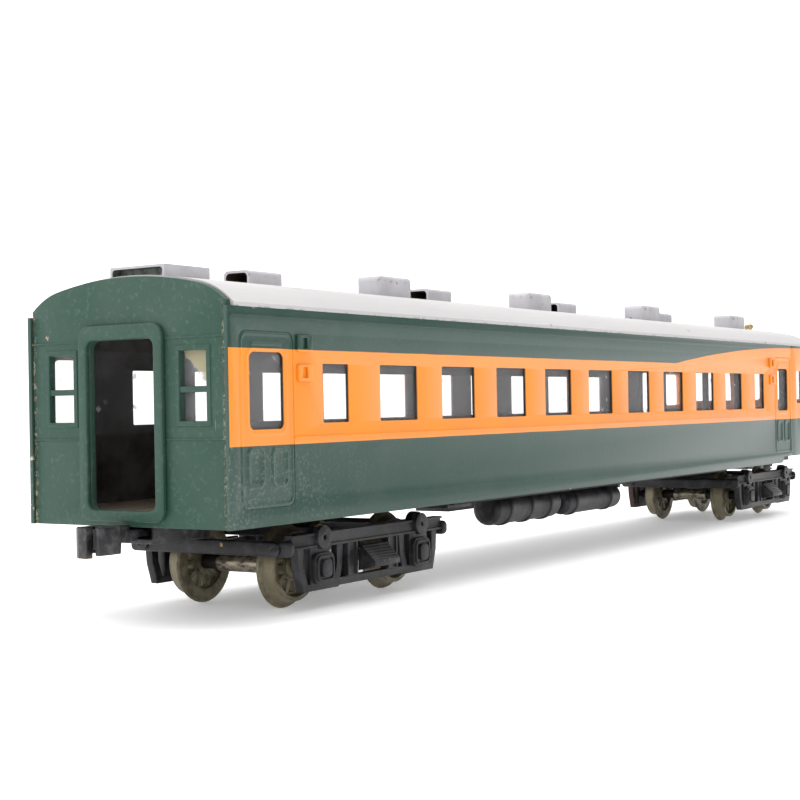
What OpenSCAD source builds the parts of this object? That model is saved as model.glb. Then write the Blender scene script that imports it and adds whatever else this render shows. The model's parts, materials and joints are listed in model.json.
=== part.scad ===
// Model passenger coach with a driving cab, 1:80 scale for 16.5 mm gauge track.
// +X runs from the gangway end to the cab end, +Z is up and Z = 0 is the
// lowest point of the wheel flanges. The origin is under the middle of the body.

/* [Body] */
// Length of the body over its end walls
body_l = 243.75; // [243:0.25:246]
// Width of the body over its side sheets
body_w = 36.5; // [36.2:0.1:37]
// Height of the lower edge of the body sides
side_z0 = 13.5; // [13.4:0.1:13.6]
// Height where the side sheets meet the roof
side_z1 = 42.7; // [42:0.1:43]
// Height of the roof's crown
roof_z = 47.7; // [46.8:0.1:48]
// Thickness of the side sheets
sheet_t = 0.6; // [0.5:0.1:0.7]
// Radius of the crown of the roof
crown_r = 58; // [44:0.5:60]

/* [Windows] */
// Number of wide windows along each side
window_n = 9; // [7:1:9]
// Distance between the wide windows
window_pitch = 17.65; // [17.2:0.05:17.7]
// Width of a wide window
window_w = 10.4; // [9:0.1:11]
// Lower edge of the side windows
window_z0 = 27.1; // [26.8:0.1:27.5]
// Upper edge of the side windows
window_z1 = 35.4; // [35:0.1:36]

/* [Doors] */
// Width of a passenger door
door_w = 11.8; // [11.4:0.1:12]
// Lower edge of the doors
door_z0 = 15.95; // [15.8:0.1:16.4]
// Upper edge of the doors
door_z1 = 39.6; // [39.2:0.1:39.8]

/* [Bogies] */
// Distance between the two bogie pivots
bogie_centres = 175; // [174:0.5:176]
// Distance from the gangway end to the first pivot
bogie_x = 38; // [37.5:0.5:39]
// Distance between the axles of one bogie
wheelbase = 26.25; // [26:0.25:26.5]
// Diameter of the wheel treads
tread_d = 10.5; // [10.3:0.1:10.6]
// Depth of the wheel flanges
flange_h = 1; // [0.8:0.1:1]
// Distance between the backs of the two wheels
back_to_back = 14.4; // [14.2:0.1:14.5]

/* [Hidden] */
$fn = 64;

half_w = body_w / 2;
inner_w = half_w - sheet_t;
cab_x = body_l - 21.75;          // where the side sheets end and the cab shell starts
cab_len = body_l - cab_x;
bulkhead_x = cab_x - 1;
cab_wall = 0.9;
cab_z0 = side_z0 + 1.5;          // the cab's lower edge stands higher than the sides'
cab_curve = 3.2;                 // exponent of the cab's rounded plan and front
glass_t = 0.4;
end_x0 = 0.4;                    // the end wall is set in behind the sheet edges
end_t = 1;
frame_x0 = -0.45;                 // face of the gangway frame
frame_hw = 7.65;
frame_z0 = 14.2;
frame_z1 = 41;
gangway_hw = 6.15;
frame_off = 0.5;                 // the gangway stands a little left of the middle
gangway_z0 = 15.7;
gangway_z1 = 38.95;
floor_z0 = 14;
floor_z1 = 15.6;

door_x = 2.2;                    // near edge of the rear door
door_play = 0.05;
door_front_x = 209.6;
door_pane_w = 7.4;
narrow_w = 6.4;
window_x = 35.3;                 // near edge of the first wide window
narrow_x = 20.8;
narrow_front_x = 195.6;
belt_z = 25.2;
gutter_z = side_z1 - 1.3;
shoulder_y = 13;

whistle_pos = [231, -3.5, 46.6];
vent_l = 9;
vent_w = 5;
vent_h = 3.05;
vent_y = 4.6;                    // the small ventilators stand in two rows
vent_xs = [34.7, 57.2, 86.6, 108.3, 138.8, 161.4, 191.2, 215.2];

axle_z = tread_d / 2 + flange_h;
axle_r = 1.1;
journal_r = 0.75;
journal_play = 0.05;
wheel_t = 2.8;
spoke_n = 10;
hub_r = 1.9;
rim_r = 4.15;
frame_y = 13.1;                  // inner face of the bogie side frames
frame_t = 1.3;
frame_hl = 20;                   // half the length of a side frame
beam_z0 = 9.2;
beam_z1 = 11.3;
bolster_z0 = 9.5;
screw_r = 1.5;
screw_play = 0.06;

coupler_pin_x = 10;
pin_r = 0.7;
pin_play = 0.06;
knuckle_pos = [-5.4, 2.4];
shank_z = 12.6;
head_z0 = 10.3;
head_z1 = 13.9;

// ---------------------------------------------------------------- helpers

// X measured from the outside of the gangway end
module from_rear(x = 0) { translate([x - body_l / 2, 0, 0]) children(); }

// The same shape seen from the other end of the coach
module turned_end() { rotate([0, 0, 180]) children(); }

// A flat outline drawn in X and Z, given a thickness from y0 to y1
module upright(y0, y1) {
    translate([0, y1, 0]) rotate([90, 0, 0]) linear_extrude(y1 - y0) children();
}

// A flat outline drawn in Y and Z, given a thickness from x0 to x1
module crosswise(x0, x1) {
    translate([x0, 0, 0]) rotate([90, 0, 90]) linear_extrude(x1 - x0) children();
}

function corner(cx, cy, r, a0, a1, n = 6) =
    [for (i = [0:n]) let (a = a0 + (a1 - a0) * i / n) [cx + r * cos(a), cy + r * sin(a)]];

// Rectangle from [x0, y0] to [x1, y1] with rounded corners
module plate(x0, y0, x1, y1, r = 0.8) {
    polygon(concat(
        corner(x1 - r, y1 - r, r, 0, 90), corner(x0 + r, y1 - r, r, 90, 180),
        corner(x0 + r, y0 + r, r, 180, 270), corner(x1 - r, y0 + r, r, 270, 360)));
}

// Thin raised or sunk line that follows a rounded rectangle
module outline(x0, y0, x1, y1, r, w) {
    difference() {
        plate(x0, y0, x1, y1, r);
        plate(x0 + w, y0 + w, x1 - w, y1 - w, max(r - w, 0.1));
    }
}

module box(x0, x1, y0, y1, z0, z1) {
    translate([x0, y0, z0]) cube([x1 - x0, y1 - y0, z1 - z0]);
}

module both_sides() {
    children();
    mirror([0, 1, 0]) children();
}

// ------------------------------------------------------------ body sides

// Left and right edges of every side window except those in the doors
side_windows = concat(
    [[narrow_x, narrow_x + narrow_w]],
    [for (i = [0:window_n - 1]) [window_x + i * window_pitch, window_x + i * window_pitch + window_w]],
    [[narrow_front_x, narrow_front_x + narrow_w]]);
door_xs = [door_x, door_front_x];

module side_outline() {
    difference() {
        polygon(concat(
            [[0, side_z0], [214, side_z0]],
            corner(214, side_z0 + 1.5, 1.5, 270, 360),
            [[217, cab_z0], [cab_x, cab_z0], [cab_x, side_z1], [0, side_z1]]));
        for (w = side_windows) plate(w[0], window_z0, w[1], window_z1, 0.25);
        for (x = door_xs) plate(x, door_z0, x + door_w, door_z1, 1.4);
    }
}

module side_beads() {
    bead = 0.15;
    upright(-half_w - bead, -half_w + 0.05) {
        translate([0.6, gutter_z]) square([cab_x - 1.2, 0.35]);
        translate([door_x + door_w + 0.1, belt_z - 0.15])
            square([door_front_x - door_x - door_w - 0.2, 0.3]);
    }
}

module side() {
    from_rear() {
        upright(-half_w, -inner_w) side_outline();
        difference() {
            side_beads();
            for (x = door_xs) box(x, x + door_w, -half_w - 1, -half_w + 1, door_z0, door_z1);
        }
    }
}
module side_right() { color("#47665a") side(); }
module side_left() { color("#47665a") mirror([0, 1, 0]) side(); }

// Door plate that fills its cut-out, with its window, two panels and handle
module door(x) {
    cx = x + door_w / 2;
    pane = door_pane_w / 2;
    face = half_w - 0.12;
    from_rear() {
        difference() {
            upright(-face, -inner_w) difference() {
                plate(x + door_play, door_z0 + door_play, x + door_w - door_play, door_z1 - door_play, 1.35);
                plate(cx - pane, 26.45, cx + pane, 36.75, 1);
            }
            upright(-half_w, -face + 0.15) for (s = [-1, 1])
                outline(cx + s * 2.6 - 1.85, 18.5, cx + s * 2.6 + 1.85, 24, 0.8, 0.3);
        }
        upright(-half_w, -face + 0.05) plate(cx - 3.2, 37.9, cx + 3.2, 38.4, 0.2);
        upright(-half_w - 0.15, -face + 0.05) translate([cx - pane + 0.2, 25.4]) circle(r = 0.35, $fn = 24);
    }
}
module door_rear_right() { color("#47665a") door(door_x); }
module door_rear_left() { color("#47665a") mirror([0, 1, 0]) door(door_x); }
module door_front_right() { color("#47665a") door(door_front_x); }
module door_front_left() { color("#47665a") mirror([0, 1, 0]) door(door_front_x); }

// Slotted holder for a destination board
module board_holder(x, z) {
    upright(-half_w - 0.45, -half_w) difference() {
        plate(x, z, x + 3.4, z + 2.3, 0.2);
        translate([x + 0.9, z + 0.45]) square([1.3, 1.5]);
    }
}
module board_holders() {
    color("#3e5c50") from_rear() both_sides() {
        board_holder(14.6, 36.95);
        board_holder(14.7, 32.9);
        board_holder(door_front_x - 3.9, 36.95);
        board_holder(door_front_x - 3.9, 32.9);
    }
}

module side_glazing() {
    from_rear() box(end_x0 + end_t + 0.1, cab_x, -inner_w, -inner_w + glass_t, 25.8, 38.2);
}
module glazing_right() { color("#dfe6e2", 0.4) side_glazing(); }
module glazing_left() { color("#dfe6e2", 0.4) mirror([0, 1, 0]) side_glazing(); }

// ------------------------------------------------------- gangway end wall

// Height of the roof at y: a wide arc that turns down faster past the shoulders
function crown_z(y, top) = top - crown_r + sqrt(crown_r * crown_r - y * y)
    - 0.055 * pow(max(abs(y) - shoulder_y, 0), 2);

module end_outline(hw, z0, top) {
    polygon(concat([[-hw, z0], [hw, z0]],
        [for (i = [0:40]) let (y = hw - i * hw / 20) [y, crown_z(y, top)]]));
}

end_panes = [[27.75, 31.55], [32.35, 37.1]];
end_pane_y = [9.65, 14.35];

module rear_end() {
    color("#3f6152") from_rear() {
        crosswise(end_x0, end_x0 + end_t) difference() {
            end_outline(inner_w, side_z0, roof_z - 0.25);
            gangway_opening();
            for (s = [-1, 1]) for (p = end_panes)
                translate([s < 0 ? -end_pane_y[1] : end_pane_y[0], p[0]])
                    square([end_pane_y[1] - end_pane_y[0], p[1] - p[0]]);
        }
        crosswise(end_x0 - 0.18, end_x0 + 0.05) for (s = [-1, 1]) {
            for (z = [belt_z, 38.7]) translate([s < 0 ? -inner_w : frame_hw + frame_off + 0.02, z])
                square([inner_w - frame_hw - s * frame_off - 0.02, 0.3]);
            difference() {
                translate([s < 0 ? -end_pane_y[1] - 0.7 : end_pane_y[0] - 0.7, end_panes[0][0] - 0.7])
                    square([end_pane_y[1] - end_pane_y[0] + 1.4, end_panes[1][1] - end_panes[0][0] + 1.4]);
                translate([s < 0 ? -end_pane_y[1] : end_pane_y[0], end_panes[0][0]])
                    square([end_pane_y[1] - end_pane_y[0], end_panes[1][1] - end_panes[0][0]]);
            }
        }
    }
}

module gangway_opening() {
    plate(frame_off - gangway_hw, gangway_z0, frame_off + gangway_hw, gangway_z1, 1.2);
}

module gangway_frame() {
    color("#3f6152") from_rear() crosswise(frame_x0, end_x0) difference() {
        plate(frame_off - frame_hw, frame_z0, frame_off + frame_hw, frame_z1, 1.8);
        gangway_opening();
    }
}

module glazing_rear() {
    color("#dfe6e2", 0.4) from_rear() both_sides()
        box(end_x0 + end_t, end_x0 + end_t + glass_t, end_pane_y[0] - 0.8, end_pane_y[1] + 0.8, 26.8, 37.7);
}

// --------------------------------------------------------------- cab end

// Quarter of a rounded box outline: flat along both axes, rounded between them
function rounded_quarter(a, b, n, steps = 28) =
    [for (i = [0:steps]) let (t = 90 * i / steps)
        [a * pow(cos(t), 2 / n), b * pow(sin(t), 2 / n)]];

module cab_plan(inset) {
    q = rounded_quarter(cab_len - inset, half_w - inset, cab_curve);
    translate([cab_x, 0]) polygon(concat(
        [for (p = q) p], [for (i = [len(q) - 1:-1:0]) [q[i][0], -q[i][1]]]));
}

module cab_profile(inset) {
    q = rounded_quarter(cab_len - inset, roof_z - inset - 24, 3.4);
    translate([cab_x, 0]) polygon(concat([[0, 0], [cab_len - inset, 0]], [for (p = q) [p[0], p[1] + 24]]));
}

module roof_section(inset) {
    hw = half_w - inset;
    polygon(concat([[-hw, 10], [hw, 10]],
        [for (i = [0:40]) let (y = hw - i * hw / 20) [y, crown_z(y, roof_z - inset)]]));
}

module cab_volume(inset, z0, z1) {
    intersection() {
        translate([0, 0, z0]) linear_extrude(z1 - z0) cab_plan(inset);
        upright(-half_w - 1, half_w + 1) cab_profile(inset);
    }
}

cab_door_hw = 4.6;
screen_z0 = 29.2;
screen_z1 = 36.8;
screen_x = cab_x + 14.6;
headlight_y = 10.6;
headlight_z = 23;
tail_y = 14.4;
tail_z = 20.2;
lamp_r = 2;
tail_r = 1;

module cab_front() {
    color("#47665a") from_rear() difference() {
        cab_volume(0, cab_z0, side_z1);
        cab_volume(cab_wall, cab_z0 - 1, side_z1 + 1);
        box(cab_x - 1, cab_x, -half_w - 1, half_w + 1, 0, 60);
        both_sides() {
            box(screen_x, body_l + 1, cab_door_hw + 0.9, half_w + 1, screen_z0, screen_z1);
            upright(half_w - 4, half_w + 1) plate(cab_x + 4.2, 28.2, cab_x + 11.6, 36.4, 0.8);
            translate([body_l - 4, headlight_y, headlight_z]) rotate([0, 90, 0]) cylinder(r = lamp_r, h = 6);
            translate([body_l - 8, tail_y, tail_z]) rotate([0, 90, 0]) cylinder(r = tail_r, h = 10);
        }
        crosswise(body_l - 4, body_l + 1) plate(-cab_door_hw, 16.4, cab_door_hw, 39.2, 0.8);
    }
}

module cab_door() {
    color("#47665a") from_rear() difference() {
        union() {
            crosswise(body_l - 1.9, body_l - 0.9) plate(-cab_door_hw + 0.05, 16.45, cab_door_hw - 0.05, 39.15, 0.75);
            crosswise(body_l - 0.95, body_l - 0.6) outline(-3.4, 18.2, 3.4, 26.4, 0.8, 0.4);
        }
        crosswise(body_l - 4, body_l + 1) plate(-2.9, 29.2, 2.9, 37, 0.8);
    }
}

module glazing_cab() {
    color("#dfe6e2", 0.4) from_rear() {
        difference() {
            cab_volume(cab_wall, 27.4, 38);
            cab_volume(cab_wall + glass_t, 27, 38.5);
            box(cab_x - 1, cab_x + 2.5, -half_w, half_w, 20, 45);
            box(body_l - 5, body_l + 1, -cab_door_hw - 0.4, cab_door_hw + 0.4, 20, 45);
        }
        box(body_l - 2.3, body_l - 1.9, -3.6, 3.6, 28.4, 37.8);
    }
}

module headlights() {
    color("#b9babb") from_rear() both_sides() {
        translate([body_l - 3.4, headlight_y, headlight_z]) rotate([0, 90, 0]) difference() {
            cylinder(r = lamp_r - 0.02, h = 3.6);
            translate([0, 0, 1]) cylinder(r = lamp_r - 0.4, h = 4);
        }
    }
}

module headlight_lenses() {
    color("#f2f2ea", 0.6) from_rear() both_sides()
        translate([body_l - 1.4, headlight_y, headlight_z]) rotate([0, 90, 0]) cylinder(r = lamp_r - 0.42, h = 1.2);
}

module tail_lights() {
    color("#a01818") from_rear() both_sides()
        translate([body_l - 5.4, tail_y, tail_z]) rotate([0, 90, 0]) cylinder(r = tail_r - 0.02, h = 3.6);
}

// ------------------------------------------------------------------ roof

module roof() {
    color("#e4e1e1") from_rear() {
        difference() {
            crosswise(end_x0 + end_t, cab_x) roof_section(0);
            box(-1, cab_x + 1, -half_w - 1, half_w + 1, 0, side_z1);
            from_wall_clearance();
        }
        difference() {
            intersection() {
                cab_volume(0, side_z1, roof_z + 1);
                crosswise(cab_x, body_l) roof_section(0);
            }
            translate(whistle_pos) cylinder(r = 0.46, h = 9);
        }
    }
}

// Room behind the gangway end wall for its sheet
module from_wall_clearance() { box(-1, end_x0 + end_t, -half_w - 1, half_w + 1, 0, 60); }

// Hooded ventilator with its open mouth towards -X and a rounded back
module vent(l, w, h, mouth_r) {
    difference() {
        intersection() {
            translate([0, 0, roof_z - 1.6]) linear_extrude(h + 1.6)
                polygon(concat([[0, -w / 2]], corner(l - 0.8, -w / 2 + 0.8, 0.8, 270, 360),
                    corner(l - 0.8, w / 2 - 0.8, 0.8, 0, 90), [[0, w / 2]]));
            upright(-w, w) polygon(concat([[0, 0], [l, 0]],
                corner(l - 0.7, roof_z + h - 0.7, 0.7, 0, 90), [[0, roof_z + h]]));
        }
        crosswise(-1, 1.6) plate(-w / 2 + 0.4, roof_z - 0.2, w / 2 - 0.4, roof_z + h - 0.35, mouth_r);
        from_roof();
    }
}

// The roof's solid below a ventilator, so that its foot follows the curve
module from_roof() { crosswise(-1, 14) roof_foot(); }
module roof_foot() {
    polygon(concat([[-20, 30], [20, 30]], [for (i = [0:40]) let (y = 20 - i) [y, crown_z(y, roof_z)]]));
}

module roof_vent_wide() {
    color("#cfccd0") from_rear(3) vent(10, 10, 1.45, 0.5);
}

// Vents in the left row open towards the gangway end, those in the right row
// towards the cab
module small_vent(i) {
    row = i % 2 == 0 ? 1 : -1;
    color("#cfccd0") from_rear(vent_xs[i]) translate([0, row * vent_y, 0])
        rotate([0, 0, row > 0 ? 0 : 180]) translate([-vent_l / 2, 0, 0])
            vent_on_slope(row);
}

module vent_on_slope(row) {
    drop = roof_z - crown_z(vent_y, roof_z);
    difference() {
        translate([0, 0, -drop]) difference() {
            intersection() {
                translate([0, 0, roof_z - 2]) linear_extrude(vent_h + 2)
                    polygon(concat([[0, -vent_w / 2]],
                        corner(vent_l - 1.2, -vent_w / 2 + 1.2, 1.2, 270, 360),
                        corner(vent_l - 1.2, vent_w / 2 - 1.2, 1.2, 0, 90), [[0, vent_w / 2]]));
                crosswise(-1, vent_l + 1) plate(-vent_w / 2, roof_z - 3, vent_w / 2, roof_z + vent_h, 0.7);
                upright(-vent_w, vent_w) polygon(concat([[-1, 40], [vent_l, 40]],
                    corner(vent_l - 1.1, roof_z + vent_h - 1.1, 1.1, 0, 90), [[-1, roof_z + vent_h]]));
            }
            crosswise(-1, vent_l - 2) plate(-vent_w / 2 + 0.4, roof_z + 0.35, vent_w / 2 - 0.4, roof_z + vent_h - 0.4, 0.7);
        }
        translate([0, -vent_y, 0]) crosswise(-2, vent_l + 2) roof_foot();
    }
}
module roof_vent_1() { small_vent(0); }
module roof_vent_2() { small_vent(1); }
module roof_vent_3() { small_vent(2); }
module roof_vent_4() { small_vent(3); }
module roof_vent_5() { small_vent(4); }
module roof_vent_6() { small_vent(5); }
module roof_vent_7() { small_vent(6); }
module roof_vent_8() { small_vent(7); }

module whistle() {
    color("#b08d4a") from_rear(whistle_pos[0]) translate([0, whistle_pos[1], whistle_pos[2]]) {
        cylinder(r = 0.45, h = 2);
        translate([0, 0, 1.9]) rotate([0, 90, 0]) cylinder(r1 = 0.4, r2 = 0.8, h = 3);
    }
}

// ------------------------------------------------- floor and inside walls

module floor() {
    color("#7d6a52") from_rear() difference() {
        union() {
            box(end_x0 + end_t, cab_x, -inner_w + 0.5, inner_w - 0.5, floor_z0, floor_z1);
            box(cab_x, body_l - 5, -11, 11, floor_z0, floor_z1);
            both_sides() box(64, 188, 12.4, 13.4, 12.6, floor_z0);
        }
        for (x = [bogie_x, bogie_x + bogie_centres])
            translate([x, 0, floor_z0 - 1]) cylinder(r = screw_r, h = 4);
    }
}

// Wall behind the driving cab, with a doorway and a window on each side of it
module cab_bulkhead() {
    color("#4c4646") from_rear() crosswise(bulkhead_x, bulkhead_x + 0.8) difference() {
        translate([-inner_w + 0.6, floor_z1]) square([2 * inner_w - 1.2, side_z1 - floor_z1]);
        translate([-3.6, floor_z1 - 1]) square([7.2, 22]);
        for (s = [-1, 1]) translate([s * 10.2, 32]) square([10.4, 9.4], center = true);
    }
}

// --------------------------------------------------------------- underfloor

// Banded cylinder with domed ends, hung under the floor on two straps
module reservoir(x0, x1, y, z, r, bands) {
    translate([x0, y, z]) rotate([0, 90, 0]) rotate_extrude() polygon(concat(
        [[0, 0]], corner(r - 1.2, 1.2, 1.2, 270, 360), [[r, x1 - x0 - 1.2]],
        corner(r - 1.2, x1 - x0 - 1.2, 1.2, 0, 90), [[0, x1 - x0]]));
    for (b = bands) translate([b - 0.6, y, z]) rotate([0, 90, 0]) cylinder(r = r + 0.25, h = 1.2);
    for (b = bands) box(b - 0.6, b + 0.6, y - 0.8, y + 0.8, z + r - 0.5, floor_z0);
}
module main_reservoir() { color("#26242a") from_rear() reservoir(82, 107, -9, 10.5, 2.85, [87, 95, 102.5]); }
module slim_reservoir() { color("#2b292f") from_rear() reservoir(109.5, 134, -9.4, 10.1, 2.4, [113.5, 129]); }
module equipment_box() {
    color("#232227") from_rear() {
        box(66, 74, -11, -5, 11.8, floor_z0);
        box(92, 126, 4.5, 12, 9.2, floor_z0);
        for (x = [94, 104.5, 115]) box(x, x + 9, 12, 12.3, 9.8, 13.2);
    }
}

// Brake cylinder with its push rod and lever, on the left of the middle
module brake_gear() {
    color("#2b292f") from_rear() {
        translate([140, 3, 11]) rotate([0, 90, 0]) {
            cylinder(r = 2.4, h = 6);
            translate([0, 0, -0.8]) cylinder(r = 2.9, h = 0.9);
            cylinder(r = 0.5, h = 14);
        }
        box(141, 145, 1.5, 4.5, 12.5, floor_z0);
        box(153, 154.2, -2, 6, 10.5, 11.5);
        box(153, 154.2, -2, -1, 11, floor_z0);
    }
}

module king_screws() {
    color("#a98f4d") for (x = [bogie_x, bogie_x + bogie_centres]) from_rear(x) difference() {
        union() {
            translate([0, 0, 7.6]) cylinder(r = 2.6, h = 1.6);
            translate([0, 0, 8]) cylinder(r = screw_r, h = floor_z1 - 8);
        }
        box(-3, 3, -0.35, 0.35, 7, 8.2);
    }
}

// ------------------------------------------------------------------ couplers

// Pocket under the floor: two plates, two cheeks and the pivot pin
module coupler_pocket() {
    from_rear() {
        difference() {
            box(1.8, 13.4, -3.5, 3.5, 11.1, floor_z0);
            box(0, 12.4, -2.9, 2.9, 11.75, 13.4);
        }
        translate([coupler_pin_x, 0, 11.5]) cylinder(r = pin_r, h = 2);
    }
}
module coupler_pocket_rear() { color("#1f1e22") coupler_pocket(); }
module coupler_pocket_front() { color("#1f1e22") turned_end() coupler_pocket(); }

// Head with its guard arm and lugs, on a shank that thins where it enters the pocket
module coupler() {
    from_rear() {
        difference() {
            union() {
                translate([coupler_pin_x, 0, shank_z - 0.5]) cylinder(r = 1.7, h = 1);
                box(-3, coupler_pin_x, -0.9, 0.9, shank_z - 0.5, shank_z + 0.5);
                box(-2.6, -0.3, -0.9, 0.9, 11.6, head_z1 - 0.05);
                box(-0.4, 1.2, -0.9, 0.9, 11.6, shank_z + 0.5);
            }
            translate([coupler_pin_x, 0, 0]) cylinder(r = pin_r + pin_play, h = 30);
        }
        difference() {
            translate([0, 0, head_z0]) linear_extrude(head_z1 - head_z0)
                polygon([[-2.4, -1.4], [-2.4, 2.4], [-3.6, 3.4], [-4.3, 3.2], [-4.3, 0.3], [-5, -0.5],
                    [-7, -1.1], [-7.2, -1.9], [-5.4, -2.3], [-3.4, -2.2]]);
            translate([knuckle_pos[0], knuckle_pos[1], 5]) cylinder(r = 1.45, h = 12);
            upright(-6, 6) polygon([[-4, 9], [-2, 9], [-2, 12.4]]);
        }
        for (z = [head_z0, head_z1 - 0.4]) {
            translate([knuckle_pos[0], knuckle_pos[1], z]) cylinder(r = 1, h = 0.4);
            box(knuckle_pos[0], -3.6, knuckle_pos[1] - 0.6, knuckle_pos[1] + 0.8, z, z + 0.4);
        }
        translate([knuckle_pos[0], knuckle_pos[1], head_z0 + 0.2]) cylinder(r = 0.5, h = head_z1 - head_z0 - 0.4);
    }
}
module coupler_rear() { color("#1d1c20") coupler(); }
module coupler_front() { color("#1d1c20") turned_end() coupler(); }

// Knuckle that turns on its pin to open, with a tall jaw clear of the lugs
module knuckle() {
    from_rear() translate([knuckle_pos[0], knuckle_pos[1], 0]) difference() {
        union() {
            translate([0, 0, head_z0 + 0.75]) linear_extrude(head_z1 - head_z0 - 1.5) {
                circle(r = 1.1);
                polygon([[0, 1.05], [-1, 0.5], [-2.2, -1], [-2.3, -2.6], [-1.3, -2.7], [-0.9, -1.6], [0.2, -0.9]]);
            }
            translate([0, 0, 9.9]) linear_extrude(head_z1 - 9.9)
                polygon([[-1.45, 0.1], [-2.2, -1], [-2.35, -2.6], [-1.3, -2.7], [-1.35, -0.9]]);
        }
        translate([0, 0, 5]) cylinder(r = 0.55, h = 12);
    }
}
module knuckle_rear() { color("#1d1c20") knuckle(); }
module knuckle_front() { color("#1d1c20") turned_end() knuckle(); }

// -------------------------------------------------------------------- bogies

axle_xs = [-wheelbase / 2, wheelbase / 2];
box_z0 = 3.9;
box_z1 = 8.4;
box_hw = 2.4;

// Flat outline of a side frame, drawn about the bogie's middle
module side_frame_outline() {
    polygon(concat([[-frame_hl, beam_z0], [frame_hl, beam_z0]],
        [[frame_hl, beam_z1], [-frame_hl, beam_z1]]));
    for (x = axle_xs) {
        translate([x, beam_z1 - 0.7]) circle(r = 1.9);
        translate([x - 2.6, box_z0 - 0.3]) square([5.2, beam_z0 - box_z0 + 1]);
        for (s = [-1, 1]) polygon([[x + s * 5.6, beam_z0 + 0.4], [x + s * 5.3, 6.2], [x + s * 4.6, 4],
            [x + s * 4.3, 3], [x + s * 2.8, 3], [x + s * 3.3, 4.4], [x + s * 4, 6.4], [x + s * 4.1, beam_z0 + 0.4]]);
        translate([x - 4.2, 3]) square([8.4, 1]);
    }
    translate([axle_xs[0], 3.2]) square([wheelbase, 1.1]);
    for (s = [-1, 1]) translate([s * 5.4 - 1.3, 3.6]) square([2.6, beam_z0 - 3]);
}

module leaf_spring(y0, y1) {
    for (i = [0:3]) upright(y0, y1) translate([-3.8 + i * 0.5, 7.9 - i * 0.55]) square([7.6 - i, 0.42]);
}

// Side frame with its ribs, lugs, axlebox covers, footstep and spring
module side_frame() {
    outer = frame_y + frame_t;
    difference() {
        union() {
            upright(frame_y, outer) side_frame_outline();
            upright(outer - 0.1, outer + 0.3) {
                translate([-frame_hl, beam_z0]) square([2 * frame_hl, 0.35]);
                translate([-frame_hl, beam_z1 - 0.35]) square([2 * frame_hl, 0.35]);
                for (s = [-1, 1]) translate([s * 5.4 - 1.3, 4.4]) square([0.4, 4.9]);
                for (s = [-1, 1]) translate([s * 5.4 + 0.9, 4.4]) square([0.4, 4.9]);
            }
            for (x = axle_xs) {
                translate([x, outer + 0.8, beam_z1 - 0.7]) rotate([90, 0, 0]) cylinder(r = 1.7, h = 1);
                upright(outer - 0.1, outer + 0.7) plate(x - box_hw, box_z0, x + box_hw, box_z1, 1.2);
                upright(outer + 0.6, outer + 1) outline(x - box_hw + 0.35, box_z0 + 0.35, x + box_hw - 0.35,
                    box_z1 - 0.35, 0.95, 0.35);
                upright(outer + 0.6, outer + 1.25) plate(x - 1.15, 4.9, x + 1.15, 7.4, 0.7);
            }
            footstep(outer);
            leaf_spring(frame_y, outer + 0.2);
        }
        for (x = axle_xs) {
            translate([x, frame_y + 1.5, axle_z]) rotate([90, 0, 0]) cylinder(r = journal_r + journal_play, h = 4);
            translate([x, outer + 2, beam_z1 - 0.7]) rotate([90, 0, 0]) cylinder(r = 0.35, h = 2.2);
        }
    }
}

// Wedge that stands out at the middle, with a ribbed tread
module footstep(outer) {
    difference() {
        crosswise(-3.4, 3.4) polygon([[outer - 0.2, 8.6], [outer + 0.5, 8.6], [outer + 2.9, 6.3],
            [outer + 2.9, 5.5], [outer - 0.2, 4.8]]);
        for (i = [0:5]) translate([0, outer + 0.75 + i * 0.4, 8.42 - i * 0.385])
            rotate([-44, 0, 0]) box(-4, 4, 0, 0.16, -0.12, 0.4);
    }
}

module side_frame_at(x, s) {
    color("#242228") from_rear(x) { if (s > 0) side_frame(); else rotate([0, 0, 180]) side_frame(); }
}
module end_beams_at(x) {
    color("#242228") from_rear(x) for (s = [-1, 1]) {
        x0 = s > 0 ? frame_hl : -frame_hl - 1.2;
        crosswise(x0, x0 + 1.2) plate(-15, 8.3, 15, 10.5, 0.75);
    }
}
module frame_screws_at(x) {
    color("#3a383e") from_rear(x) for (s = [-1, 1]) for (y = [-12.4, 12.4])
        rotate([0, 0, s > 0 ? 0 : 180]) translate([frame_hl + 1.2, y, 9.4]) difference() {
            rotate([0, 90, 0]) cylinder(r = 0.95, h = 0.4);
            rotate([30, 0, 0]) box(0.15, 1, -1.2, 1.2, -0.18, 0.18);
        }
}
module bolster_at(x) {
    color("#2a282d") from_rear(x) difference() {
        union() {
            box(-4.8, 4.8, -frame_y, frame_y, bolster_z0, 11.2);
            translate([0, 0, 11]) cylinder(r = 4, h = 2.7);
            both_sides() box(-frame_hl + 4, frame_hl - 4, 11.4, frame_y, 10, 11.2);
        }
        translate([0, 0, 5]) cylinder(r = screw_r + screw_play, h = 12);
    }
}

rear_x = bogie_x;
front_x = bogie_x + bogie_centres;
module rear_side_frame_right() { side_frame_at(rear_x, -1); }
module rear_side_frame_left() { side_frame_at(rear_x, 1); }
module rear_end_beams() { end_beams_at(rear_x); }
module rear_bolster() { bolster_at(rear_x); }
module rear_frame_screws() { frame_screws_at(rear_x); }
module front_side_frame_right() { side_frame_at(front_x, -1); }
module front_side_frame_left() { side_frame_at(front_x, 1); }
module front_end_beams() { end_beams_at(front_x); }
module front_bolster() { bolster_at(front_x); }
module front_frame_screws() { frame_screws_at(front_x); }

// ------------------------------------------------------------------ wheelsets

wheelset_xs = [rear_x + axle_xs[0], rear_x + axle_xs[1], front_x + axle_xs[0], front_x + axle_xs[1]];
wheel_back = back_to_back / 2;
tread_r = tread_d / 2;

// Turned along Y about its own centre
module turned_y() { rotate([-90, 0, 0]) rotate_extrude() children(); }

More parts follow.
